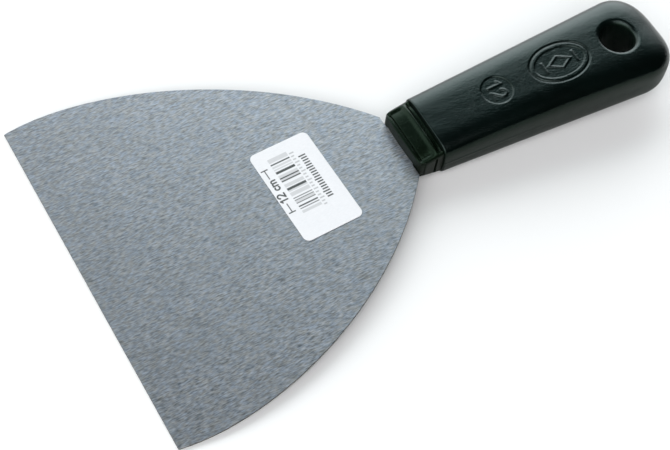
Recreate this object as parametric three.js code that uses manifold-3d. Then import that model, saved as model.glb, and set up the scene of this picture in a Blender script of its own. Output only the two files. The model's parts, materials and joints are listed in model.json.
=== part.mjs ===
// Ink knife: a wide spring-steel blade with a moulded plastic handle.
//
// Tool frame, in millimetres: x = 0 is the front face of the collar, the blade lies towards -X and
// the handle towards +X. z = 0 is the mid-plane of the blade, and the tool is symmetric about y = 0.
// At the end the whole tool is tilted into its resting pose, where the blade's front edge and the
// underside of the handle touch the surface z = 0, and the origin is put under the middle of the tool.
import * as THREE from "three";
import { mergeVertices } from "three/addons/utils/BufferGeometryUtils.js";
import Module from "manifold-3d";

// Blade: a flat sheet that is ground thinner from the tang towards the front edge.
const BLADE_WIDTH = 120;
const BLADE_LENGTH = 109.4;
const BLADE_BULGE = [29.7, 5.2]; // first control point of the side, from the front corner
const BLADE_SHOULDER = [29.7, 35.9]; // second control point, from the neck corner
const NECK_HALF_WIDTH = 12.4;
const FRONT_THICKNESS = 0.6;
const NECK_THICKNESS = 1.0;

// Tang: the tongue of the blade inside the collar and the handle.
const TANG_LENGTH = 68;
const TANG_FRONT_HALF_WIDTH = 8;
const TANG_END_HALF_WIDTH = 5.5;
const TANG_HOLE_RADIUS = 2.4;
const TANG_HOLES_X = [28, 52];

// Collar: a wedge-shaped ring between the blade and the handle.
const COLLAR_LENGTH = 9.2;
const COLLAR_HALF_WIDTH = [11.6, 12.2];
const COLLAR_HALF_HEIGHT = [4.7, 6.9];
const COLLAR_LIP_LENGTH = 1.3;
const COLLAR_RIB = [5.6, 7.9];
const COLLAR_RECESS_DEPTH = 0.7;
const JOINT_GROOVE_DEPTH = 1.2;

// Handle: sections between the joint with the collar and the round butt.
const HANDLE_END = 102;
const HANDLE_HALF_WIDTH = [12.5, 14.2, 17.9];
const HANDLE_HALF_HEIGHT = [7.3, 10.4, 8.5];
const SECTION_POWER = 4.2;
const BUTT_LENGTH = 14.8;
const BUTT_EDGE_LENGTH = 16;
const BUTT_POWER = 2.2;

// Hang hole through the handle, and the sunk marks on its upper face.
const HANG_HOLE = { x: 84, radius: 5.75, flare: 2 };
const SIZE_MARK = { x: 35.8, radius: 5.4, depth: 0.5 };
const OVAL_MARK = { x: 60.3, halfLength: 11.3, halfWidth: 7.6, depth: 0.5, groove: 0.8, ring: 1.1 };

// Paper label on the upper face of the blade.
const LABEL = { x: -34.2, y: 0.4, width: 21.1, length: 35.6, corner: 2, thickness: 0.12, turn: 0.036 };

const FIT_GAP = 0.05; // between pieces that sit on or in each other
const AROUND = 48; // facets round the handle and the collar

const wasm = await Module();
wasm.setup();

function solidFrom(geometry) {
  const bare = geometry.clone();
  bare.deleteAttribute("normal");
  bare.deleteAttribute("uv");
  const merged = mergeVertices(bare, 1e-4);
  return new wasm.Manifold(
    new wasm.Mesh({
      numProp: 3,
      vertProperties: merged.attributes.position.array,
      triVerts: new Uint32Array(merged.index.array),
    }),
  );
}

function geometryFrom(solid) {
  const mesh = solid.getMesh();
  const geometry = new THREE.BufferGeometry();
  geometry.setAttribute("position", new THREE.BufferAttribute(mesh.vertProperties, 3));
  geometry.setIndex(new THREE.BufferAttribute(mesh.triVerts, 1));
  geometry.computeVertexNormals();
  return geometry;
}

function cut(geometry, cutters) {
  return geometryFrom(cutters.reduce((body, cutter) => body.subtract(solidFrom(cutter)), solidFrom(geometry)));
}

const lerp = THREE.MathUtils.lerp;

function quadratic([start, control, end], s) {
  return lerp(lerp(start, control, s), lerp(control, end, s), s);
}

// Bends a unit cylinder into a body along X. Its section at s (0 to 1) is a superellipse with the
// half width and half height that profile(s) gives, at the profile's x.
function bodyAlongX(steps, profile) {
  const geometry = new THREE.CylinderGeometry(1, 1, 1, AROUND, steps);
  const position = geometry.attributes.position;
  for (let i = 0; i < position.count; i++) {
    const side = position.getZ(i);
    const up = position.getX(i);
    const { x, halfWidth, halfHeight } = profile(position.getY(i) + 0.5);
    const reach = Math.hypot(side, up) < 0.5 ? 0 : superellipseReach(side, up);
    position.setXYZ(i, x, side * reach * halfWidth, up * reach * halfHeight);
  }
  return geometry;
}

function superellipseReach(a, b) {
  return (Math.abs(a) ** SECTION_POWER + Math.abs(b) ** SECTION_POWER) ** (-1 / SECTION_POWER);
}

// Factor by which a half width shrinks over the last stretch before the end of the handle.
function roundedEnd(x, stretch) {
  const along = Math.max(0, (x - HANDLE_END + stretch) / stretch);
  return (1 - along ** BUTT_POWER) ** (1 / BUTT_POWER);
}

function handleSize(x) {
  const s = (x - COLLAR_LENGTH) / (HANDLE_END - COLLAR_LENGTH);
  return {
    halfWidth: quadratic(HANDLE_HALF_WIDTH, s) * roundedEnd(x, BUTT_LENGTH),
    halfHeight: quadratic(HANDLE_HALF_HEIGHT, s) * roundedEnd(x, BUTT_EDGE_LENGTH),
  };
}

function handleProfile(s) {
  const front = COLLAR_LENGTH + FIT_GAP;
  const straight = HANDLE_END - BUTT_LENGTH;
  const share = 0.55; // of the steps, spent on the straight stretch
  const last = 0.47 * Math.PI; // angle at which the butt ends in a small flat
  const x =
    s < share
      ? lerp(front, straight, s / share)
      : straight + BUTT_LENGTH * Math.sin((last * (s - share)) / (1 - share));
  return { x, ...handleSize(x) };
}

function collarBody(from, to, sunk) {
  return bodyAlongX(1, (s) => {
    const x = lerp(from, to, s);
    return {
      x,
      halfWidth: lerp(...COLLAR_HALF_WIDTH, x / COLLAR_LENGTH) - sunk,
      halfHeight: lerp(...COLLAR_HALF_HEIGHT, x / COLLAR_LENGTH) - sunk,
    };
  });
}

// The sheet tapers evenly along X, so both faces of the blade are flat planes.
function sheetThickness(x) {
  return lerp(NECK_THICKNESS, FRONT_THICKNESS, -x / BLADE_LENGTH);
}

function sheetFrom(shape, grow) {
  const geometry = new THREE.ExtrudeGeometry(shape, { depth: 1, bevelEnabled: false, curveSegments: 32 });
  const position = geometry.attributes.position;
  for (let i = 0; i < position.count; i++) {
    const side = Math.sign(position.getZ(i) - 0.5);
    position.setZ(i, side * (sheetThickness(position.getX(i)) / 2 + grow));
  }
  return geometry;
}

// Outline of the tang from `start` to its round end, grown outwards, with its holes shrunk.
function addTang(shape, start, grow) {
  const endX = TANG_LENGTH - TANG_END_HALF_WIDTH;
  shape.lineTo(start, TANG_FRONT_HALF_WIDTH + grow);
  shape.lineTo(endX, TANG_END_HALF_WIDTH + grow);
  shape.absarc(endX, 0, TANG_END_HALF_WIDTH + grow, Math.PI / 2, -Math.PI / 2, true);
  shape.lineTo(start, -TANG_FRONT_HALF_WIDTH - grow);
  for (const x of TANG_HOLES_X) {
    shape.holes.push(new THREE.Path().absarc(x, 0, TANG_HOLE_RADIUS - grow, 0, 2 * Math.PI, false));
  }
  return shape;
}

function bladeShape() {
  const frontX = -BLADE_LENGTH;
  const half = BLADE_WIDTH / 2;
  const [bulgeX, bulgeY] = BLADE_BULGE;
  const [shoulderX, shoulderY] = BLADE_SHOULDER;
  const neckX = -FIT_GAP;
  const sideOut = [frontX + bulgeX, half + bulgeY];
  const sideIn = [neckX - shoulderX, NECK_HALF_WIDTH + shoulderY];
  const shape = new THREE.Shape();
  shape.moveTo(frontX, half);
  shape.bezierCurveTo(...sideOut, ...sideIn, neckX, NECK_HALF_WIDTH);
  addTang(shape, neckX, 0);
  shape.lineTo(neckX, -NECK_HALF_WIDTH);
  shape.bezierCurveTo(sideIn[0], -sideIn[1], sideOut[0], -sideOut[1], frontX, -half);
  return shape;
}

function tangSpace() {
  const start = -1;
  const shape = new THREE.Shape();
  shape.moveTo(start, -TANG_FRONT_HALF_WIDTH - FIT_GAP);
  return sheetFrom(addTang(shape, start, FIT_GAP), FIT_GAP);
}

function collarGeometry() {
  const parts = [
    collarBody(0, COLLAR_LENGTH, JOINT_GROOVE_DEPTH),
    collarBody(0, COLLAR_RIB[1], COLLAR_RECESS_DEPTH),
    collarBody(0, COLLAR_LIP_LENGTH, 0),
    collarBody(COLLAR_RIB[0], COLLAR_RIB[1], 0),
  ].map(solidFrom);
  const joined = parts.reduce((body, part) => body.add(part));
  return geometryFrom(joined.subtract(solidFrom(tangSpace())));
}

// A round cutter along Z whose radius flares where it leaves the upper and lower faces.
function hangHoleCutter() {
  const { x, radius, flare } = HANG_HOLE;
  const faceZ = handleSize(x).halfHeight;
  const outline = new THREE.Path();
  outline.moveTo(0, -faceZ - flare);
  outline.lineTo(radius + flare, -faceZ - flare);
  outline.lineTo(radius + flare, -faceZ);
  outline.absarc(radius + flare, -faceZ + flare, flare, -Math.PI / 2, -Math.PI, true);
  outline.lineTo(radius, faceZ - flare);
  outline.absarc(radius + flare, faceZ - flare, flare, Math.PI, Math.PI / 2, true);
  outline.lineTo(radius + flare, faceZ + flare);
  outline.lineTo(0, faceZ + flare);
  const points = outline.getPoints(5);
  return new THREE.LatheGeometry(points, 36).rotateX(Math.PI / 2).translate(x, 0, 0);
}

// A flat-bottomed oval cutter that sinks `depth` into the handle's upper face at x.
function markCutter(x, halfLength, halfWidth, depth, hole) {
  const shape = new THREE.Shape().absellipse(0, 0, halfLength, halfWidth, 0, 2 * Math.PI, false, 0);
  if (hole) {
    const [holeLength, holeWidth] = hole;
    shape.holes.push(new THREE.Path().absellipse(0, 0, holeLength, holeWidth, 0, 2 * Math.PI, false, 0));
  }
  const geometry = new THREE.ExtrudeGeometry(shape, { depth: 2, bevelEnabled: false, curveSegments: 16 });
  return geometry.translate(x, 0, handleSize(x).halfHeight - depth);
}

function handleGeometry() {
  const { x, halfLength, halfWidth, depth, groove, ring } = OVAL_MARK;
  const field = groove + ring;
  const inner = [halfLength - groove, halfWidth - groove];
  return cut(bodyAlongX(24, handleProfile), [
    tangSpace(),
    hangHoleCutter(),
    markCutter(SIZE_MARK.x, SIZE_MARK.radius, SIZE_MARK.radius, SIZE_MARK.depth),
    markCutter(x, halfLength, halfWidth, depth, inner),
    markCutter(x, halfLength - field, halfWidth - field, depth),
  ]);
}

function labelGeometry() {
  const { width, length, corner, thickness, turn } = LABEL;
  const x = width / 2 - corner;
  const y = length / 2 - corner;
  const shape = new THREE.Shape();
  shape.absarc(x, y, corner, 0, Math.PI / 2, false);
  shape.absarc(-x, y, corner, Math.PI / 2, Math.PI, false);
  shape.absarc(-x, -y, corner, Math.PI, 1.5 * Math.PI, false);
  shape.absarc(x, -y, corner, 1.5 * Math.PI, 2 * Math.PI, false);
  const geometry = new THREE.ExtrudeGeometry(shape, { depth: thickness, bevelEnabled: false, curveSegments: 6 });
  return geometry.rotateZ(turn);
}

function namedMesh(name, geometry, color, roughness, metalness) {
  const mesh = new THREE.Mesh(geometry, new THREE.MeshStandardMaterial({ color, roughness, metalness }));
  mesh.name = name;
  return mesh;
}

const blade = namedMesh("blade", sheetFrom(bladeShape(), 0), 0x8f9aa1, 0.45, 1);
const collar = namedMesh("collar", collarGeometry(), 0x1c211a, 0.45, 0);
const handle = namedMesh("handle", handleGeometry(), 0x10191a, 0.35, 0);
const label = namedMesh("label", labelGeometry(), 0xf4f5f6, 0.7, 0);
label.position.set(LABEL.x, LABEL.y, sheetThickness(LABEL.x) / 2 + FIT_GAP);
label.rotation.y = -Math.atan((NECK_THICKNESS - FRONT_THICKNESS) / 2 / BLADE_LENGTH);

// Resting tilt: the steepest line from the lower front edge to a point on the handle's underside.
function restingTilt() {
  const steps = 200;
  let steepest = 0;
  for (let i = 0; i <= steps; i++) {
    const { x, halfHeight } = handleProfile(i / steps);
    steepest = Math.max(steepest, (halfHeight - FRONT_THICKNESS / 2) / (x + BLADE_LENGTH));
  }
  return Math.atan(steepest);
}

const tool = new THREE.Group();
tool.add(blade, collar, handle, label);
tool.rotation.y = -restingTilt();

const box = new THREE.Box3().setFromObject(tool, true);
const middle = box.getCenter(new THREE.Vector3());
tool.position.set(-middle.x, 0, -box.min.z);

const group = new THREE.Group();
group.add(tool);

export default group;
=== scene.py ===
import itertools
import json
import math

import bmesh
import bpy
import numpy as np
from mathutils import Matrix, Vector


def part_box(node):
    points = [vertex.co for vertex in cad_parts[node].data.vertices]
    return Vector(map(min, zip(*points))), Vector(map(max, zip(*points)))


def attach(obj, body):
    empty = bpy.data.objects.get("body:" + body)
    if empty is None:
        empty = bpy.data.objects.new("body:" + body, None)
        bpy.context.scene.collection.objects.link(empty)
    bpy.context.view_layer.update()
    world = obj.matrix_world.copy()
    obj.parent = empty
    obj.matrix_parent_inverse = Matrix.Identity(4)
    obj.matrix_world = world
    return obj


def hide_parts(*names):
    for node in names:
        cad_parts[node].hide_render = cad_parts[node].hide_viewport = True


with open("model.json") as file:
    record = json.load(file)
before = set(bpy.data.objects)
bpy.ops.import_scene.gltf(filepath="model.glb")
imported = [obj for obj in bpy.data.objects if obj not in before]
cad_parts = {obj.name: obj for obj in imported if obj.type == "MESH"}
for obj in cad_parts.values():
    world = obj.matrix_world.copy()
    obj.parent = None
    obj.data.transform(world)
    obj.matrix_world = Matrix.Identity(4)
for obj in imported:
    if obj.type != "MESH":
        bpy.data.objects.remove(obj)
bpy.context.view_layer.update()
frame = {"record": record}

MM = 0.001

# ---------------------------------------------------------------- dimensions, in millimetres
# Tool frame: x = 0 is the front face of the collar, the blade lies towards -X and the handle towards
# +X, z = 0 is the mid-plane of the blade, and the tool is symmetric about y = 0.

BLADE_LENGTH = 109.4
BLADE_HALF_WIDTH = 60
BLADE_BULGE = (29.7, 5.2)
BLADE_SHOULDER = (29.7, 35.9)
NECK_HALF_WIDTH = 12.4
FRONT_THICKNESS = 0.6
NECK_THICKNESS = 1.0
BLADE_EDGE_ROUND = 0.12

TANG_LENGTH = 68
TANG_FRONT_HALF_WIDTH = 8
TANG_END_HALF_WIDTH = 5.5
TANG_HOLE_RADIUS = 2.4
TANG_HOLES_X = (28, 52)

COLLAR_LENGTH = 9.2
COLLAR_HALF_WIDTH = (11.6, 12.2)
COLLAR_HALF_HEIGHT = (4.7, 6.9)
COLLAR_CORNER = 2.6
COLLAR_FRONT_ROUND = 0.25
COLLAR_BACK_ROUND = 0.2
COLLAR_BOW = 0.5
COLLAR_LIP_LENGTH = 0.9
COLLAR_RIB_X = 6.75
COLLAR_RIB_REACH = 0.85
COLLAR_PANEL_HALF_WIDTH = 10.3
COLLAR_RECESS_DEPTH = 0.7
COLLAR_RECESS_STEP = 0.3
COLLAR_LIP_GROOVE_DEPTH = 0.4
COLLAR_LIP_GROOVE_REACH = 0.35
JOINT_GROOVE_X = 7.9
JOINT_GROOVE_DEPTH = 1.2
SIDE_PAD = (2.6, 6.2)
SIDE_PAD_STEP = 0.5
SIDE_NOTCH_END = 7.0
SIDE_HALF_HEIGHT = 3.4

HANDLE_END = 102
HANDLE_HALF_WIDTH = (12.5, 14.2, 17.9)
HANDLE_HALF_HEIGHT = (7.3, 10.4, 8.5)
SECTION_POWER = 4.2
BUTT_LENGTH = 14.8
BUTT_POWER = 2.2
HANDLE_FRONT_ROUND = 0.4
SEAM_HEIGHT = 0.1
SEAM_REACH = 0.3
SEAM_FADE_X = (30, 60)
SEAM_FROM_Y = 6

HANG_HOLE_RADIUS = 5.75
HANG_HOLE_FLARE = 2
SIZE_MARK_X = 35.8
SIZE_MARK_RADIUS = 5.4
SIZE_MARK_DEPTH = 0.34
SIZE_MARK_ROUND = 0.3
NUMERAL = "12"
NUMERAL_HEIGHT = 5.6
NUMERAL_SHIFT = 0.3
NUMERAL_HALF_STROKE = 0.5
OVAL_X = 60.3
OVAL_HALF_LENGTH = 11.3
OVAL_HALF_WIDTH = 7.6
OVAL_LINE_INSET = 0.4
OVAL_LINE_RADIUS = 0.42
OVAL_LINE_ABOVE_SKIN = 0.12
OVAL_LINE_ROUND = 0.2
OVAL_FIELD_INSET = 1.9
OVAL_FIELD_DEPTH = 0.3
OVAL_FIELD_ROUND = 0.25
LOZENGE_SLOPES = (0.5, 0.87)
LOZENGE_REACH = 2.1
BAR_X = 6
BAR_HALF_LENGTH = 2.4
EMBLEM_HALF_STROKE = 0.45
POCKET_WALL_SLOPE = 0.6
RAISED_WALL_SLOPE = 0.8
RAISED_BELOW_SKIN = 0.06
RAISED_ROUND = 0.2
RAISED_FOOT_ROUND = 0.15

LABEL_X = -34.2
LABEL_Y = 0.4
LABEL_WIDTH = 21.1
LABEL_LENGTH = 35.6
LABEL_CORNER = 2
LABEL_THICKNESS = 0.12
LABEL_TURN = 0.036
LABEL_GRID_STEP = 0.12
FIT_GAP = 0.05

# Steps of the implicit surfaces' grids: quick, then final. The shift keeps grid points off z = 0.
HANDLE_GRID_STEPS = (0.4, 0.22)
COLLAR_GRID_STEPS = (0.3, 0.14)
GRID_SHIFT = 0.03

# Camera in the tool frame: where it stands, where it aims on the blade's mid-plane, and its roll.
CAMERA_AT = (-188.8, -219.5, 421.6)
CAMERA_AIM = (-32.99, -15.99, 0)
CAMERA_ROLL = math.radians(8.84)
CAMERA_LENS = 85.78
SENSOR_WIDTH = 36

# Directions in plan, in the row frame: the middle of the wide softbox, and its brightest part.
BOX_FACING = (math.cos(math.radians(150)), math.sin(math.radians(150)))
KEY_FACING = (math.cos(math.radians(40)), math.sin(math.radians(40)))

# The soft fill light stands by the camera.
FILL_DIRECTION = (-0.455, -0.455, 0.766)
FLOOR_HALF_SIZE = 3.0


# ---------------------------------------------------------------- frame

def tool_frame():
    """The tool frame in the row frame, from the blade's box and the mount on its flat lower face."""
    low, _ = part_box("blade")
    mounts = {m["name"]: m for m in frame["record"]["mounts"]}
    normal = mounts["blade_lower_face"]["axis"]
    taper = math.atan((NECK_THICKNESS - FRONT_THICKNESS) / 2 / BLADE_LENGTH)
    tilt = math.atan2(-normal[0], -normal[2]) - taper
    turn = Matrix.Rotation(tilt, 4, "Y")
    edge = Vector((low.x + FRONT_THICKNESS * MM * abs(math.sin(tilt)), 0, low.z))
    edge_in_tool = Vector((-BLADE_LENGTH, 0, -FRONT_THICKNESS / 2)) * MM
    return Matrix.Translation(edge - turn @ edge_in_tool) @ turn


TOOL = tool_frame()
TO_ROW = TOOL @ Matrix.Scale(MM, 4)


def hang_hole_x():
    """The hang hole's centre along the tool's X, from the opening that the record states."""
    openings = {o["name"]: o for o in frame["record"]["physics"]["openings"]}
    low, high = openings["hang_hole"]["box_m"]
    row_x = (low[0] + high[0]) / 2
    origin = TOOL.translation
    along = TOOL.to_3x3() @ Vector((1, 0, 0))
    return (row_x - origin.x) / along.x / MM


HANG_HOLE_X = hang_hole_x()


def piece_from(name, points, quads, node):
    """A smooth-shaded piece made of quads, from points in the tool frame."""
    mesh = bpy.data.meshes.new(name)
    mesh.vertices.add(len(points))
    mesh.vertices.foreach_set("co", np.asarray(points, np.float32).ravel())
    mesh.loops.add(quads.size)
    mesh.loops.foreach_set("vertex_index", quads.ravel().astype(np.int32))
    mesh.polygons.add(len(quads))
    mesh.polygons.foreach_set("loop_start", np.arange(0, quads.size, 4, dtype=np.int32))
    mesh.update(calc_edges=True)
    mesh.validate()
    mesh.transform(TO_ROW)
    mesh.shade_smooth()
    return show(name, mesh, node)


def show(name, mesh, node):
    """Puts a mesh in the scene as the visible piece that stands for a CAD node."""
    piece = bpy.data.objects.new(name, mesh)
    bpy.context.scene.collection.objects.link(piece)
    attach(piece, "root")
    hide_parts(node)
    return piece


# ---------------------------------------------------------------- implicit surfaces

def quadratic(values, share):
    """A quadratic Bezier curve's value."""
    start, control, end = values
    return start * (1 - share) ** 2 + 2 * control * share * (1 - share) + end * share ** 2


def round_max(a, b, radius):
    """Where two bodies overlap, with their common edge rounded."""
    reach = np.hypot(np.maximum(a + radius, 0), np.maximum(b + radius, 0))
    return np.minimum(np.maximum(a, b), -radius) + reach


def round_min(a, b, radius):
    """Two bodies joined, with a fillet of that radius between them."""
    return -round_max(-a, -b, radius)


def ramp(value, low, high):
    """0 below the low value and 1 above the high one, with a smooth step between."""
    share = np.clip((value - low) / (high - low), 0, 1)
    return share * share * (3 - 2 * share)


def hump(value, middle, reach):
    """A bell curve, 1 at its middle."""
    return np.exp(-((value - middle) / reach) ** 2)


def surface_nets(field, low, high, step):
    """Points and quads of the surface where the field changes sign: inside is negative."""
    low = np.array(low, float)
    counts = np.ceil((np.array(high, float) - low) / step).astype(int) + 1
    axes = [low[i] + step * np.arange(counts[i]) for i in range(3)]
    values = field(*np.meshgrid(*axes, indexing="ij"))
    inside = values < 0
    corners = np.array(list(itertools.product((0, 1), repeat=3)))
    held = np.zeros(counts - 1, np.int8)
    for i, j, k in corners:
        held += inside[i:counts[0] - 1 + i, j:counts[1] - 1 + j, k:counts[2] - 1 + k]
    cells = np.argwhere((held > 0) & (held < 8))
    index = np.full(counts - 1, -1)
    index[tuple(cells.T)] = np.arange(len(cells))
    total = np.zeros((len(cells), 3))
    crossings = np.zeros(len(cells))
    for a, b in itertools.combinations(corners, 2):
        if np.abs(a - b).sum() != 1:
            continue
        at_a = values[tuple((cells + a).T)]
        at_b = values[tuple((cells + b).T)]
        crossed = (at_a < 0) != (at_b < 0)
        share = (at_a / np.where(crossed, at_a - at_b, 1))[crossed]
        total[crossed] += a + share[:, None] * (b - a)
        crossings += crossed
    points = low + step * (cells + total / crossings[:, None])
    return points, quads_across(inside, index, counts)


def quads_across(inside, index, counts):
    """One quad for each grid edge that the surface crosses, facing out."""
    unit = np.eye(3, dtype=int)
    quads = []
    for axis in range(3):
        u = unit[(axis + 1) % 3]
        v = unit[(axis + 2) % 3]
        lower = np.moveaxis(inside, axis, 0)[:-1]
        upper = np.moveaxis(inside, axis, 0)[1:]
        crossing = np.moveaxis(lower != upper, 0, axis)
        starts = np.argwhere(crossing)
        across = (u + v).astype(bool)
        starts = starts[((starts[:, across] > 0) & (starts[:, across] < counts[across] - 1)).all(1)]
        ring = [index[tuple((starts - back).T)] for back in (0 * u, u, u + v, v)]
        quad = np.stack(ring, 1)
        facing_back = ~inside[tuple(starts.T)]
        quad[facing_back] = quad[facing_back, ::-1]
        quads.append(quad)
    return np.concatenate(quads)


def onto_surface(points, field, tries=3, reach=0.01, longest=0.15):
    """Moves points along the field's slope until they lie on the surface."""
    steps = reach * np.eye(3)
    for _ in range(tries):
        value = field(*points.T)
        rises = [field(*(points + step).T) - field(*(points - step).T) for step in steps]
        slope = np.stack(rises, 1) / (2 * reach)
        length = np.maximum(np.linalg.norm(slope, axis=1), 0.1)
        move = np.clip(value / length, -longest, longest)
        points = points - (move / length)[:, None] * slope
    return points


def grid_step(steps):
    """The final one of two grid steps; the quick one is not used."""
    quick_step, final_step = steps
    return final_step


def implicit_piece(name, field, low, high, step, node):
    """The piece whose surface is where the field is zero, between two corners of a grid."""
    points, quads = surface_nets(field, low, high, step)
    return piece_from(name, onto_surface(points, field), quads, node)


# ---------------------------------------------------------------- strokes for numerals and print

def arc(centre, radii, start, end, steps=14):
    """Points on an elliptical arc between two angles in degrees."""
    angles = np.radians(np.linspace(start, end, steps))
    return np.stack([centre[0] + radii[0] * np.cos(angles), centre[1] + radii[1] * np.sin(angles)], 1)


# Each glyph is a list of polylines in a cell that is 1 high.
GLYPHS = {
    "1": [np.array([(0.12, 0.76), (0.34, 0.94), (0.34, 0.06)])],
    "2": [
        np.concatenate([arc((0.31, 0.68), (0.24, 0.26), 165, -40), np.array([(0.07, 0.06)])]),
        np.array([(0.07, 0.06), (0.57, 0.06)]),
    ],
    "c": [arc((0.27, 0.33), (0.22, 0.27), 50, 310, 18)],
    "m": [
        np.array([(0.02, 0.62), (0.02, 0.06)]),
        np.concatenate([arc((0.2, 0.42), (0.18, 0.17), 180, 0), np.array([(0.38, 0.06)])]),
        np.concatenate([arc((0.56, 0.42), (0.18, 0.17), 180, 0), np.array([(0.74, 0.06)])]),
    ],
}
GLYPH_ADVANCE = {"1": 0.62, "2": 0.76, "c": 0.6, "m": 0.9, " ": 0.35}


def stroke_distance(text, u, v, height):
    """Distance from (u, v) to the centre lines of a line of text. u runs along it and v up it."""
    nearest = np.full(np.shape(u), np.inf)
    cursor = 0
    for letter in text:
        for line in GLYPHS.get(letter, []):
            placed = (line + (cursor, 0)) * height
            for start, end in zip(placed[:-1], placed[1:]):
                along = end - start
                share = ((u - start[0]) * along[0] + (v - start[1]) * along[1]) / (along @ along)
                share = np.clip(share, 0, 1)
                gap = np.hypot(u - start[0] - share * along[0], v - start[1] - share * along[1])
                nearest = np.minimum(nearest, gap)
        cursor += GLYPH_ADVANCE[letter]
    return nearest


def text_length(text, height):
    return sum(GLYPH_ADVANCE[letter] for letter in text) * height


# ---------------------------------------------------------------- blade

def sheet_thickness(x):
    """The sheet's thickness, which grows from the front edge to the end of the tang."""
    return NECK_THICKNESS + (NECK_THICKNESS - FRONT_THICKNESS) * x / BLADE_LENGTH


def bezier(p0, p1, p2, p3, steps):
    t = np.linspace(0, 1, steps)[:, None]
    p0, p1, p2, p3 = (np.array(p, float) for p in (p0, p1, p2, p3))
    return p0 * (1 - t) ** 3 + 3 * p1 * t * (1 - t) ** 2 + 3 * p2 * t ** 2 * (1 - t) + p3 * t ** 3


def blade_outline():
    """The outline of the blade with its tang, as one closed loop."""
    front = -BLADE_LENGTH
    neck = -FIT_GAP
    side = bezier(
        (front, BLADE_HALF_WIDTH),
        (front + BLADE_BULGE[0], BLADE_HALF_WIDTH + BLADE_BULGE[1]),
        (neck - BLADE_SHOULDER[0], NECK_HALF_WIDTH + BLADE_SHOULDER[1]),
        (neck, NECK_HALF_WIDTH),
        96,
    )
    tang_end = arc((TANG_LENGTH - TANG_END_HALF_WIDTH, 0), (TANG_END_HALF_WIDTH,) * 2, 90, 0, 12)
    upper = np.concatenate([side, [(neck, TANG_FRONT_HALF_WIDTH)], tang_end])
    lower = (upper * (1, -1))[-2::-1]
    return np.concatenate([upper, lower])


def loop_of_edges(mesh, outline):
    verts = [mesh.verts.new((x, y, 0)) for x, y in outline]
    return [mesh.edges.new(pair) for pair in zip(verts, verts[1:] + verts[:1])]


def is_rim(edge):
    """Whether an edge runs round the sheet's upper or lower face."""
    first, second = edge.verts
    sharp = edge.is_manifold and edge.calc_face_angle() > math.radians(60)
    return sharp and first.co.z * second.co.z > 0


def make_blade():
    """The sheet: outline and tang holes filled, given its tapering thickness, its edges just broken."""
    mesh = bmesh.new()
    edges = loop_of_edges(mesh, blade_outline())
    for x in TANG_HOLES_X:
        edges += loop_of_edges(mesh, arc((x, 0), (TANG_HOLE_RADIUS,) * 2, 0, 360, 33)[:-1])
    bmesh.ops.triangle_fill(mesh, use_beauty=True, edges=edges)
    made = bmesh.ops.extrude_face_region(mesh, geom=list(mesh.faces), use_keep_orig=True)
    lower = {item for item in made["geom"] if isinstance(item, bmesh.types.BMVert)}
    for vert in mesh.verts:
        side = -1 if vert in lower else 1
        vert.co.z = side * sheet_thickness(vert.co.x) / 2
    bmesh.ops.recalc_face_normals(mesh, faces=mesh.faces)
    rims = [edge for edge in mesh.edges if is_rim(edge)]
    bmesh.ops.bevel(mesh, geom=rims, offset=BLADE_EDGE_ROUND, segments=2, profile=0.5, affect="EDGES")
    data = bpy.data.meshes.new("blade_sheet")
    mesh.to_mesh(data)
    mesh.free()
    data.transform(TO_ROW)
    data.shade_smooth()
    piece = show("blade_sheet", data, "blade")
    flat = piece.modifiers.new("flat_faces", "WEIGHTED_NORMAL")
    flat.keep_sharp = False
    flat.weight = 100
    piece.data.materials.append(steel_material())
    return piece


# ---------------------------------------------------------------- handle

def superellipse(y, z, half_width, half_height):
    """1 on a boxy oval section, less inside it and more outside."""
    across = np.abs(y / half_width) ** SECTION_POWER
    upwards = np.abs(z / half_height) ** SECTION_POWER
    return (across + upwards) ** (1 / SECTION_POWER)


def section_distance(reach, middle):
    """About the distance from a section, from its superellipse value and the distance from its middle.
    The small numbers keep it finite at the middle."""
    return (reach - 1) * (middle + 0.08) / (reach + 0.01)


def handle_body(x, y, z):
    """About the distance from the plain handle: a superellipse section that ends in a round butt."""
    share = (x - COLLAR_LENGTH) / (HANDLE_END - COLLAR_LENGTH)
    section = superellipse(y, z, quadratic(HANDLE_HALF_WIDTH, share), quadratic(HANDLE_HALF_HEIGHT, share))
    past = np.maximum(x - HANDLE_END + BUTT_LENGTH, 0)
    reach = (section ** BUTT_POWER + (past / BUTT_LENGTH) ** BUTT_POWER) ** (1 / BUTT_POWER)
    middle = np.sqrt(past ** 2 + y ** 2 + z ** 2)
    return section_distance(reach, middle)


def oval_distance(x, y, half_length, half_width):
    """About the distance from an ellipse in the plane, negative inside."""
    k0 = np.hypot(x / half_length, y / half_width)
    k1 = np.hypot(x / half_length ** 2, y / half_width ** 2)
    return k0 * (k0 - 1) / np.maximum(k1, 1e-6)


def with_size_mark(solid, body, x, y, z):
    """Adds a sunk disc with the knife's width in centimetres standing in it."""
    u = x - SIZE_MARK_X
    near = (np.hypot(u, y) < SIZE_MARK_RADIUS + 1) & (z > 0)
    u, v, skin, whole = u[near], y[near], body[near], solid[near]
    rim = np.hypot(u, v) - SIZE_MARK_RADIUS
    above_floor = skin + SIZE_MARK_DEPTH
    pocket = round_max(rim + POCKET_WALL_SLOPE * above_floor, -above_floor, SIZE_MARK_ROUND)
    sunk = round_max(whole, -pocket, SIZE_MARK_ROUND)
    start = text_length(NUMERAL, NUMERAL_HEIGHT) / 2 - NUMERAL_SHIFT
    line = stroke_distance(NUMERAL, start - v, u + NUMERAL_HEIGHT / 2, NUMERAL_HEIGHT)
    stroke = line - NUMERAL_HALF_STROKE + RAISED_WALL_SLOPE * above_floor
    numeral = round_max(stroke, skin + RAISED_BELOW_SKIN, RAISED_ROUND)
    solid[near] = round_min(sunk, numeral, RAISED_FOOT_ROUND)
    return solid


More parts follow.
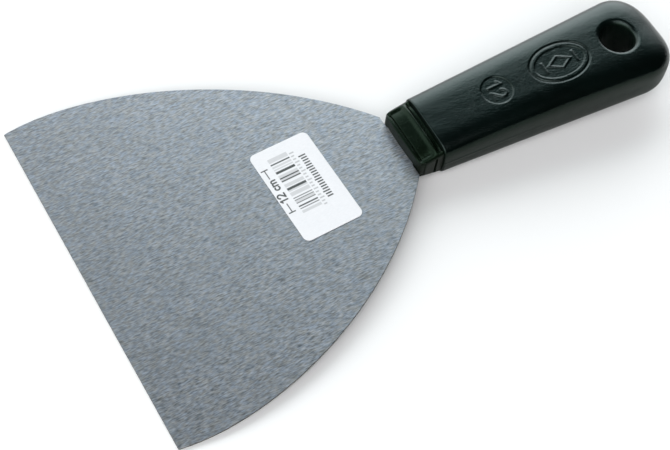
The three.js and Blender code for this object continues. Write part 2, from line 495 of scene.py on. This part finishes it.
def with_oval(solid, body, x, y, z):
    """Adds a sunk line and a sunk oval field, with a plain lozenge and two bars standing in it."""
    u = x - OVAL_X
    near = (np.hypot(u, y * 1.5) < OVAL_HALF_LENGTH + 2) & (z > 0)
    u, v, skin, whole = u[near], y[near], body[near], solid[near]
    above_floor = skin + OVAL_FIELD_DEPTH
    line = oval_distance(u, v, OVAL_HALF_LENGTH - OVAL_LINE_INSET, OVAL_HALF_WIDTH - OVAL_LINE_INSET)
    groove = np.hypot(line, skin - OVAL_LINE_ABOVE_SKIN) - OVAL_LINE_RADIUS
    field = oval_distance(u, v, OVAL_HALF_LENGTH - OVAL_FIELD_INSET, OVAL_HALF_WIDTH - OVAL_FIELD_INSET)
    pocket = round_max(field + POCKET_WALL_SLOPE * above_floor, -above_floor, OVAL_FIELD_ROUND)
    sunk = round_max(round_max(whole, -groove, OVAL_LINE_ROUND), -pocket, OVAL_FIELD_ROUND)
    lozenge = np.abs(u) * LOZENGE_SLOPES[0] + np.abs(v) * LOZENGE_SLOPES[1] - LOZENGE_REACH
    bar_side = np.abs(np.abs(u) - BAR_X) - EMBLEM_HALF_STROKE
    bars = np.maximum(bar_side, np.abs(v) - BAR_HALF_LENGTH)
    emblem = np.minimum(np.abs(lozenge) - EMBLEM_HALF_STROKE, bars) + RAISED_WALL_SLOPE * above_floor
    emblem = round_max(emblem, skin + RAISED_BELOW_SKIN, RAISED_ROUND)
    solid[near] = round_min(sunk, emblem, RAISED_FOOT_ROUND)
    return solid


def handle_field(x, y, z):
    """The handle: its body with a faint mould seam at the sides, its marks, its flat front and its hole."""
    body = handle_body(x, y, z)
    full_until, gone_at = SEAM_FADE_X
    fade = np.clip((gone_at - x) / (gone_at - full_until), 0, 1)
    solid = body - SEAM_HEIGHT * hump(z, 0, SEAM_REACH) * fade * (np.abs(y) > SEAM_FROM_Y)
    solid = with_size_mark(solid, body, x, y, z)
    solid = with_oval(solid, body, x, y, z)
    solid = round_max(solid, COLLAR_LENGTH + FIT_GAP - x, HANDLE_FRONT_ROUND)
    hole = HANG_HOLE_RADIUS - np.hypot(x - HANG_HOLE_X, y)
    return round_max(solid, hole, HANG_HOLE_FLARE)


def make_handle():
    margin = 0.6
    half_width = max(HANDLE_HALF_WIDTH) + margin
    half_height = max(HANDLE_HALF_HEIGHT)
    low = (COLLAR_LENGTH - margin, -half_width, -half_height - GRID_SHIFT)
    high = (HANDLE_END + margin, half_width, half_height)
    step = grid_step(HANDLE_GRID_STEPS)
    piece = implicit_piece("handle_moulding", handle_field, low, high, step, "handle")
    piece.data.materials.append(handle_material())
    return piece


# ---------------------------------------------------------------- collar

def collar_depth(x, y, z):
    """How far the collar's skin lies below its outer shape: a panel, a rib and the joint groove above and
    below, and a pad with a notch behind it on each side."""
    lip_end = COLLAR_LIP_LENGTH
    pad_start, pad_end = SIDE_PAD
    behind_lip = ramp(x, lip_end, lip_end + COLLAR_RECESS_STEP)
    panel = COLLAR_RECESS_DEPTH * behind_lip * (1 - hump(x, COLLAR_RIB_X, COLLAR_RIB_REACH))
    groove_x = lip_end + 2 * COLLAR_LIP_GROOVE_REACH
    lip_groove = COLLAR_LIP_GROOVE_DEPTH * hump(x, groove_x, COLLAR_LIP_GROOVE_REACH)
    joint = ramp(x, JOINT_GROOVE_X - 0.1, JOINT_GROOVE_X + 0.3)
    joint = joint * (JOINT_GROOVE_DEPTH - COLLAR_RECESS_DEPTH)
    before_pad = SIDE_PAD_STEP * behind_lip * ramp(pad_start - x, -0.1, 0.2)
    notch = JOINT_GROOVE_DEPTH * ramp(x, pad_end - 0.1, pad_end + 0.15)
    notch = notch * ramp(SIDE_NOTCH_END - x, -0.15, 0.1)
    on_top = ramp(COLLAR_PANEL_HALF_WIDTH - np.abs(y), -0.6, 1.2)
    on_side = ramp(np.abs(y), COLLAR_PANEL_HALF_WIDTH, COLLAR_PANEL_HALF_WIDTH + 0.4)
    on_side = on_side * ramp(SIDE_HALF_HEIGHT - np.abs(z), -0.3, 0.3)
    return on_top * (panel + lip_groove + joint) + on_side * (before_pad + notch)


def collar_field(x, y, z):
    """The collar: a section that widens towards the handle, less its recesses, with a bowed front."""
    share = np.clip(x / COLLAR_LENGTH, 0, 1)
    half_width = COLLAR_HALF_WIDTH[0] + (COLLAR_HALF_WIDTH[1] - COLLAR_HALF_WIDTH[0]) * share
    half_height = COLLAR_HALF_HEIGHT[0] + (COLLAR_HALF_HEIGHT[1] - COLLAR_HALF_HEIGHT[0]) * share
    depth = collar_depth(x, y, z)
    reach = superellipse(y, z, half_width - depth, half_height - depth)
    body = section_distance(reach, np.hypot(y, z))
    front = COLLAR_BOW * (y / COLLAR_HALF_WIDTH[0]) ** 2 - x
    corner = COLLAR_HALF_WIDTH[0] - np.abs(y)
    plan = round_max(front, -corner, COLLAR_CORNER)
    solid = round_max(body, np.maximum(front, plan), COLLAR_FRONT_ROUND)
    return round_max(solid, x - COLLAR_LENGTH, COLLAR_BACK_ROUND)


def make_collar():
    margin = 0.5
    half_width = max(COLLAR_HALF_WIDTH) + margin
    half_height = max(COLLAR_HALF_HEIGHT) + margin
    low = (-margin, -half_width, -half_height - GRID_SHIFT)
    high = (COLLAR_LENGTH + margin, half_width, half_height)
    step = grid_step(COLLAR_GRID_STEPS)
    piece = implicit_piece("collar_ring", collar_field, low, high, step, "collar")
    piece.data.materials.append(collar_material())
    return piece


# ---------------------------------------------------------------- label

# The label's bars, from one end of the row to the other: each one's thickness and tone, or None for a gap.
BLACK, DARK, GREY = 0.95, 0.8, 0.26
BARS = (
    (1.6, GREY), (0.5, None), (0.5, BLACK), (0.5, None), (0.7, GREY), (0.4, None), (0.5, GREY),
    (0.5, None), (0.9, BLACK), (0.7, None), (1.0, GREY), (0.5, BLACK), (0.6, GREY), (0.5, BLACK),
    (1.0, None), (1.2, GREY), (0.4, None), (0.9, BLACK), (0.6, GREY), (0.4, None), (1.4, GREY),
    (0.7, None), (0.35, DARK), (0.5, None), (0.35, DARK), (0.8, GREY), (0.35, DARK), (0.9, None),
    (0.5, BLACK), (0.5, None), (0.35, DARK), (0.6, None), (1.0, GREY),
)
FAINT = 0.4
RULED_COUNT = 18
RULED_THICKNESS = 0.5


class Print:
    """Ink on the label, 0 to 1 at each point. u runs across it towards the handle, and v along it."""

    def __init__(self, u, v):
        self.u = u
        self.v = v
        self.ink = np.zeros(np.shape(u))

    def add(self, distance, strength):
        """Prints where the distance is negative, with an edge one grid step wide."""
        edge = np.clip(0.5 - distance / LABEL_GRID_STEP, 0, 1)
        self.ink = np.maximum(self.ink, strength * edge)

    def box(self, u_range, v_range, strength):
        u0, u1 = u_range
        v0, v1 = v_range
        away_u = np.abs(self.u - (u0 + u1) / 2) - (u1 - u0) / 2
        away_v = np.abs(self.v - (v0 + v1) / 2) - (v1 - v0) / 2
        self.add(np.maximum(away_u, away_v), strength)

    def size_line(self, text="12 cm", height=2.9, baseline=-7.3, half_stroke=0.27):
        """The size, between the two halves of a dimension line with a stop at each end."""
        middle = 2.3
        reach = 8.8
        line_span = (-8.85, -8.5)
        stop_span = (-9.9, -7.45)
        gap = 0.4
        half = text_length(text, height) / 2
        letters = stroke_distance(text, self.v - middle + half, baseline - self.u, height)
        self.add(letters - half_stroke, BLACK)
        for side in (-1, 1):
            start = middle + side * (half + gap)
            end = middle + side * reach
            self.box(line_span, sorted((start, end)), BLACK)
            self.box(stop_span, sorted((end - side * gap, end)), BLACK)

    def bars(self, span=(-5.9, 1.0), top=13.9):
        """A row of bars in three tones."""
        for thickness, tone in BARS:
            if tone:
                self.box(span, (top - thickness, top), tone)
            top -= thickness

    def ticks(self, start=1.5, short_end=2.6, long_end=3.1, first=12.4, pitch=1.25):
        """A faint row of ticks, with each third one longer."""
        for i in range(RULED_COUNT):
            low = first - pitch * i
            end = short_end if i % 3 else long_end
            self.box((start, end), (low, low + RULED_THICKNESS), FAINT)

    def ruled_scale(self, end=6.0, short_start=3.9, long_start=3.5, first=10.0):
        """A fine scale with a line at each millimetre, and each fifth one longer."""
        for i in range(RULED_COUNT):
            low = first - i
            start = short_start if i % 5 else long_start
            self.box((start, end), (low, low + RULED_THICKNESS), BLACK)


def label_print(u, v):
    """How dark the print is at each point of the label, 0 to 1."""
    ink = Print(u, v)
    ink.size_line()
    ink.bars()
    ink.ticks()
    ink.ruled_scale()
    return ink.ink


def into_rounded_corners(u, v, half):
    """Squeezes the corners of a grid that fills a rectangle, so that its outline has round corners."""
    inner = half - LABEL_CORNER
    over = np.stack([np.maximum(np.abs(u) - inner[0], 0), np.maximum(np.abs(v) - inner[1], 0)])
    shrink = over.max(0) / np.maximum(np.hypot(*over), 1e-6)
    shrink = np.where((over > 0).all(0), shrink, 1)
    u = np.sign(u) * (np.minimum(np.abs(u), inner[0]) + over[0] * shrink)
    v = np.sign(v) * (np.minimum(np.abs(v), inner[1]) + over[1] * shrink)
    return u, v


def make_label():
    """Paper with rounded corners, as a fine grid so that the print is a value at each of its points."""
    half = np.array([LABEL_WIDTH, LABEL_LENGTH]) / 2
    counts = np.round(2 * half / LABEL_GRID_STEP).astype(int) + 1
    u, v = np.meshgrid(*[np.linspace(-h, h, n) for h, n in zip(half, counts)], indexing="ij")
    u, v = into_rounded_corners(u.ravel(), v.ravel(), half)
    x = LABEL_X + u * math.cos(LABEL_TURN) - v * math.sin(LABEL_TURN)
    y = LABEL_Y + u * math.sin(LABEL_TURN) + v * math.cos(LABEL_TURN)
    upper = np.stack([x, y, sheet_thickness(x) / 2 + FIT_GAP + LABEL_THICKNESS], 1)
    lower = upper - (0, 0, LABEL_THICKNESS)
    grid = np.arange(len(u)).reshape(counts)
    top = np.stack([grid[:-1, :-1], grid[1:, :-1], grid[1:, 1:], grid[:-1, 1:]], -1).reshape(-1, 4)
    under = top[:, ::-1] + len(u)
    rim = np.concatenate([grid[:-1, 0], grid[-1, :-1], grid[:0:-1, -1], grid[0, :0:-1]])
    following = np.roll(rim, -1)
    walls = np.stack([following, rim, rim + len(u), following + len(u)], 1)
    points = np.concatenate([upper, lower])
    piece = piece_from("paper_label", points, np.concatenate([top, under, walls]), "label")
    ink = np.concatenate([label_print(u, v), np.zeros(len(u))])
    printed = piece.data.attributes.new("print", "FLOAT", "POINT")
    printed.data.foreach_set("value", ink.astype(np.float32))
    piece.data.materials.append(label_material())
    return piece


# ---------------------------------------------------------------- materials

class Nodes:
    """A node tree, with short calls for the nodes used here. Any value can be a number or a socket."""

    def __init__(self, tree):
        self.tree = tree

    def link(self, value, socket):
        if isinstance(value, bpy.types.NodeSocket):
            self.tree.links.new(value, socket)
        else:
            socket.default_value = value

    def add(self, kind, values, output=0, **settings):
        node = self.tree.nodes.new("ShaderNode" + kind)
        for key, value in settings.items():
            setattr(node, key, value)
        for key, value in values.items():
            self.link(value, node.inputs[key])
        return node.outputs[output]

    def vector(self, operation, a, b):
        return self.add("VectorMath", {0: a, 1: b}, operation=operation)

    def math(self, operation, *values):
        return self.add("Math", dict(enumerate(values)), operation=operation)

    def remap(self, value, low, high, to_low, to_high, smooth=False):
        kind = "SMOOTHSTEP" if smooth else "LINEAR"
        numbers = dict(enumerate((value, low, high, to_low, to_high)))
        return self.add("MapRange", numbers, interpolation_type=kind)

    def product(self, first, *others):
        for other in others:
            first = self.math("MULTIPLY", first, other)
        return first

    def mix(self, factor, a, b):
        """A colour between two colours."""
        return self.add("Mix", {"Factor": factor, 6: a, 7: b}, 2, data_type="RGBA")

    def split(self, vector):
        """The x, y and z of a vector."""
        node = self.tree.nodes.new("ShaderNodeSeparateXYZ")
        self.link(vector, node.inputs[0])
        return tuple(node.outputs)


class Shader(Nodes):
    """A material. Its places are in millimetres, in the row frame."""

    def __init__(self, name, **settings):
        self.material = bpy.data.materials.new(name)
        self.material.use_nodes = True
        super().__init__(self.material.node_tree)
        self.surface = self.tree.nodes["Principled BSDF"]
        for key, value in settings.items():
            self.set(key.replace("_", " "), value)
        place = self.add("TexCoord", {}, "Object")
        self.place = self.vector("MULTIPLY", place, (1 / MM,) * 3)

    def set(self, name, value):
        self.link(value, self.surface.inputs[name])

    def noise(self, size, detail=2.0, roughness=0.5, offset=(0, 0, 0), stretch=(1, 1, 1)):
        """Noise whose blobs are about `size` millimetres, stretched by a factor along each axis."""
        scaled = self.vector("MULTIPLY", self.place, tuple(1 / (size * s) for s in stretch))
        moved = self.vector("ADD", scaled, offset)
        settings = {"Vector": moved, "Scale": 1, "Detail": detail, "Roughness": roughness}
        return self.add("TexNoise", settings)

    def upright(self, kind):
        """1 where the surface faces straight up or down, and 0 where it stands upright."""
        _, _, z = self.split(self.add("NewGeometry", {}, kind))
        return self.math("ABSOLUTE", z)

    def bump(self, height, distance, strength=1.0):
        """Bump from a height that is 0 to 1, `distance` millimetres high."""
        settings = {"Strength": strength, "Distance": distance * MM, "Height": height}
        self.set("Normal", self.add("Bump", settings))


def steel_material():
    """Rolled spring steel with short ground streaks along the knife and a faint cloudy tone. Painted light
    makes it a little brighter towards the collar, and painted shade darkens the faces of its edges."""
    steel = Shader("ground_steel", Metallic=1.0)
    streaks = steel.noise(0.45, 1, 0.5, stretch=(4.3, 1, 1))
    fine = steel.noise(0.28, 1, 0.5, (7, 3, 1), (5, 1, 1))
    cloud = steel.noise(14, 3, 0.55, (3, 9, 4), (1.6, 1, 1))
    tint = steel.noise(1.1, 2, 0.6, (11, 6, 2), (1.8, 1, 1))
    grain = steel.math("ADD", steel.math("MULTIPLY", streaks, 0.6), steel.math("MULTIPLY", fine, 0.4))
    tone = steel.remap(grain, 0.3, 0.7, 0, 1)
    colour = steel.mix(tone, (0.133, 0.149, 0.171, 1), (0.383, 0.427, 0.494, 1))
    colour = steel.mix(steel.remap(cloud, 0.3, 0.7, 0, 0.22), colour, (0.21, 0.235, 0.265, 1))
    warm = steel.vector("MULTIPLY", colour, (1.1, 1.0, 0.88))
    colour = steel.mix(steel.remap(tint, 0.35, 0.65, 0, 1), colour, warm)
    along, _, _ = steel.split(steel.place)
    # Painted light: the base colour grows brighter towards the collar, standing in for the softbox's light
    # on the blade.
    painted_light_ramp = steel.remap(along, -100, 0, 0.83, 1.15)
    colour = steel.vector("MULTIPLY", colour, steel.add("CombineXYZ", {0: painted_light_ramp, 1: painted_light_ramp, 2: painted_light_ramp}))
    # Painted shade: the upright faces of the sheet's edges are darkened by the way they face.
    painted_edge_shade = steel.remap(steel.upright("True Normal"), 0.5, 0.95, 1, 0)
    steel.set("Base Color", steel.mix(painted_edge_shade, colour, (0.1, 0.1, 0.085, 1)))
    steel.set("Roughness", steel.remap(grain, 0.3, 0.7, 0.42, 0.54))
    steel.bump(grain, 0.012, 0.6)
    return steel.material


def plastic(name, dark, light, rough_low, rough_high, top_tint, side_shade_tint):
    """Black moulded plastic with faint flow marks, fine pits and rubbed patches, duller on its sides. Its
    reflections have one tint on top and a darker one on the sides, which is painted shade."""
    skin = Shader(name, IOR=1.42)
    flow = skin.noise(9, 3, 0.6, (2, 5, 1), (2.5, 1, 1))
    pits = skin.noise(0.45, 2, 0.6, (4, 1, 8), (1.5, 1, 1))
    rubbed = skin.noise(3.2, 4, 0.65, (9, 2, 6))
    upright = skin.upright("Normal")
    skin.set("Base Color", skin.mix(skin.remap(flow, 0.3, 0.7, 0, 1), dark, light))
    # Painted shade: the darker side tint dims the reflections where the surface stands upright.
    skin.set("Specular Tint", skin.mix(skin.remap(upright, 0.92, 0.4, 0, 1), top_tint, side_shade_tint))
    patchy = skin.math("ADD", skin.math("MULTIPLY", rubbed, 0.6), skin.math("MULTIPLY", pits, 0.4))
    roughness = skin.remap(patchy, 0.3, 0.7, rough_low, rough_high)
    duller = skin.remap(upright, 0.7, 0.2, 0, 0.28, True)
    skin.set("Roughness", skin.math("ADD", roughness, duller))
    skin.bump(skin.math("ADD", pits, skin.math("MULTIPLY", flow, 2)), 0.08)
    return skin.material


def handle_material():
    dark = (0.0004, 0.0012, 0.001, 1)
    light = (0.0008, 0.0026, 0.0022, 1)
    # The last colour is the painted shade tint for the sides' reflections.
    return plastic("handle_plastic", dark, light, 0.16, 0.27, (0.78, 1, 0.96, 1), (0.3, 0.5, 0.34, 1))


def collar_material():
    dark = (0.0006, 0.0016, 0.0007, 1)
    light = (0.0016, 0.0034, 0.0014, 1)
    # The last colour is the painted shade tint for the sides' reflections.
    return plastic("collar_plastic", dark, light, 0.2, 0.3, (0.26, 0.46, 0.32, 1), (0.2, 0.32, 0.22, 1))


def label_material():
    """White sticker paper with faint fibres, printed in black and grey."""
    paper = Shader("label_paper", IOR=1.45)
    fibres = paper.noise(0.5, 3, 0.6, (1, 4, 2), (2.2, 1, 1))
    cloud = paper.noise(5, 2, 0.5)
    white = paper.mix(paper.remap(fibres, 0.3, 0.7, 0, 1), (0.63, 0.635, 0.65, 1), (0.67, 0.675, 0.69, 1))
    white = paper.mix(paper.remap(cloud, 0.3, 0.7, 0, 0.3), white, (0.69, 0.69, 0.7, 1))
    printed = paper.add("Attribute", {}, "Fac", attribute_name="print")
    cover = paper.remap(fibres, 0.2, 0.5, 0.9, 1.0)
    ink = paper.math("MULTIPLY", printed, cover)
    paper.set("Base Color", paper.mix(ink, white, (0.012, 0.018, 0.016, 1)))
    paper.set("Roughness", paper.remap(ink, 0, 1, 0.55, 0.38))
    paper.bump(fibres, 0.01, 0.4)
    return paper.material


# ---------------------------------------------------------------- stage, light and camera

def make_floor():
    """A plain pale floor."""
    mesh = bpy.data.meshes.new("floor")
    half = FLOOR_HALF_SIZE
    corners = [(-half, -half, 0), (half, -half, 0), (half, half, 0), (-half, half, 0)]
    mesh.from_pydata(corners, [], [(0, 1, 2, 3)])
    floor = bpy.data.objects.new("floor", mesh)
    bpy.context.scene.collection.objects.link(floor)
    paint = Shader("floor_paint", Roughness=0.9)
    paint.set("Base Color", (0.8, 0.795, 0.79, 1))
    mesh.materials.append(paint.material)


class Studio(Nodes):
    """The light that comes from each direction, in the row frame."""

    def __init__(self, tree):
        super().__init__(tree)
        self.direction = self.add("TexCoord", {}, "Generated")
        self.x, self.y, self.z = self.split(self.direction)
        squares = [self.math("MULTIPLY", part, part) for part in (self.x, self.y)]
        self.level = self.math("MAXIMUM", self.math("SQRT", self.math("ADD", *squares)), 0.001)
        # How far a direction looks towards the far side, past a softbox that leans back as it climbs.
        self.rise = self.math("SUBTRACT", self.y, self.math("MULTIPLY", self.z, 0.4))

    def facing(self, plan):
        """The cosine of the angle in plan between each direction and one direction."""
        parts = [self.math("MULTIPLY", self.x, plan[0]), self.math("MULTIPLY", self.y, plan[1])]
        return self.math("DIVIDE", self.math("ADD", *parts), self.level)

    def softbox(self, colour):
        """A wide softbox on the far side, brightest towards the handle's end, with a dim teal edge."""
        inside = self.remap(self.rise, 0.09, 0.45, 0, 1, True)
        round_side = self.remap(self.facing(BOX_FACING), -0.8, -0.3, 0, 1, True)
        towards_key = self.remap(self.facing(KEY_FACING), 0.6, 0.95, 0.4, 1.1, True)
        upwards = self.remap(self.z, 0, 0.5, 0.55, 1.1)
        strength = self.product(inside, round_side, towards_key, upwards)
        from_edge = self.remap(self.rise, 0.06, 0.34, 0, 1, True)
        light = self.mix(from_edge, (1.3, 4.6, 4.45, 1), (4.4, 4.6, 4.7, 1))
        return self.mix(strength, colour, light)

    def end_wall(self, colour):
        """A low glow past the blade's front edge, as from a white wall."""
        past_blade = self.remap(self.x, 0.05, -0.35, 0, 0.38, True)
        below_top = self.remap(self.z, 0.52, 0.84, 1, 0, True)
        round_side = self.remap(self.facing(BOX_FACING), -0.75, -0.22, 0, 1, True)
        return self.mix(self.product(past_blade, below_top, round_side), colour, (4.25, 4.3, 4.4, 1))

    def fill(self, colour):
        """A soft light by the camera."""
        values = {0: self.direction, 1: FILL_DIRECTION}
        towards = self.add("VectorMath", values, "Value", operation="DOT_PRODUCT")
        return self.mix(self.remap(towards, 0.8, 0.97, 0, 1, True), colour, (3.7, 3.7, 3.75, 1))


def make_world():
    """A dark studio with a softbox, an end wall and a fill light. Past the floor, the camera sees white."""
    world = bpy.data.worlds.new("studio")
    bpy.context.scene.world = world
    world.use_nodes = True
    studio = Studio(world.node_tree)
    dark = (0.01, 0.015, 0.015, 1)
    colour = studio.fill(studio.softbox(studio.end_wall(dark)))
    white = (0.95, 0.95, 0.95, 1)
    seen = studio.add("LightPath", {}, "Is Camera Ray")
    background = studio.tree.nodes["Background"]
    studio.link(studio.mix(seen, colour, white), background.inputs["Color"])


def make_camera():
    """The photograph's viewpoint, turned about its line of sight by the roll."""
    at = Vector(CAMERA_AT)
    back = (at - Vector(CAMERA_AIM)).normalized()
    right = Vector((0, 0, 1)).cross(back).normalized()
    up = back.cross(right)
    turned_right = right * math.cos(CAMERA_ROLL) + up * math.sin(CAMERA_ROLL)
    turned_up = back.cross(turned_right)
    pose = Matrix((turned_right, turned_up, back)).transposed().to_4x4()
    data = bpy.data.cameras.new("camera")
    data.sensor_width = SENSOR_WIDTH
    data.lens = CAMERA_LENS
    data.clip_start = 0.01
    camera = bpy.data.objects.new("camera", data)
    camera.matrix_world = TOOL @ Matrix.Translation(at * MM) @ pose
    bpy.context.scene.collection.objects.link(camera)
    bpy.context.scene.camera = camera


make_camera()
make_blade()
make_collar()
make_handle()
make_label()
make_floor()
make_world()
bpy.context.scene.view_settings.view_transform = "Standard"

bpy.context.view_layer.update()
